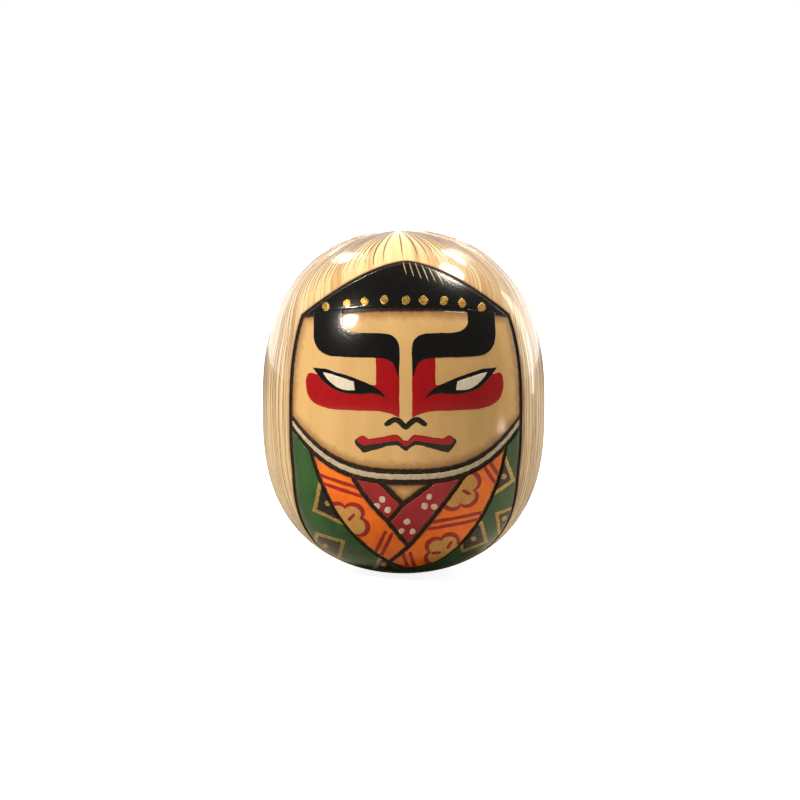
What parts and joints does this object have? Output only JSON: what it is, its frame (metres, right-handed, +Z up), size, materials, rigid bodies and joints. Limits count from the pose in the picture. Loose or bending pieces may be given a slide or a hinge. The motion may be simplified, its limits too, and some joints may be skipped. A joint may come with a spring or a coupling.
{
  "type": "daruma doll",
  "caption": "Egg-shaped turned wooden tumbler doll with a painted lion dancer face, white mane and patterned robe, weighted low so that it stands upright.",
  "frame": {"origin": "centre of the flat foot, on the surface that the doll stands on", "axes": "+Z up along the turning axis, -Y out of the face, +X to the right of someone facing the doll"},
  "size_m": [0.0704, 0.0704, 0.085],
  "materials": {
    "wood": "clear gloss lacquer on turned pale hardwood",
    "ballast_iron": "as cast",
    "mane_white": "white and tan brush strokes under gloss lacquer",
    "ink_black": "black paint under gloss lacquer",
    "gold_paint": "gold paint under gloss lacquer",
    "face_red": "red paint under gloss lacquer",
    "eye_white": "white paint under gloss lacquer",
    "collar_silver": "silvery white paint under gloss lacquer",
    "crimson": "crimson paint under gloss lacquer",
    "robe_orange": "orange stain under gloss lacquer",
    "robe_green": "green stain under gloss lacquer"
  },
  "bodies": {
    "root": {"body": "wood", "ballast": "ballast_iron", "base_plug": "wood", "hair_coat": "mane_white", "crown_band": "ink_black", "gold_dot_1": "gold_paint", "gold_dot_2": "gold_paint", "gold_dot_3": "gold_paint", "gold_dot_4": "gold_paint", "gold_dot_5": "gold_paint", "gold_dot_6": "gold_paint", "gold_dot_7": "gold_paint", "gold_dot_8": "gold_paint", "gold_dot_9": "gold_paint", "brow_left": "ink_black", "brow_right": "ink_black", "cheek_red_left": "face_red", "cheek_red_right": "face_red", "eye_line_left": "ink_black", "eye_line_right": "ink_black", "eye_white_left": "eye_white", "eye_white_right": "eye_white", "nose_line": "ink_black", "lip_red": "face_red", "lip_black": "ink_black", "collar_band": "collar_silver", "under_collar_left": "crimson", "under_collar_right": "crimson", "lapel_left": "robe_orange", "lapel_right": "robe_orange", "robe_left": "robe_green", "robe_right": "robe_green"}
  },
  "joints": []
}
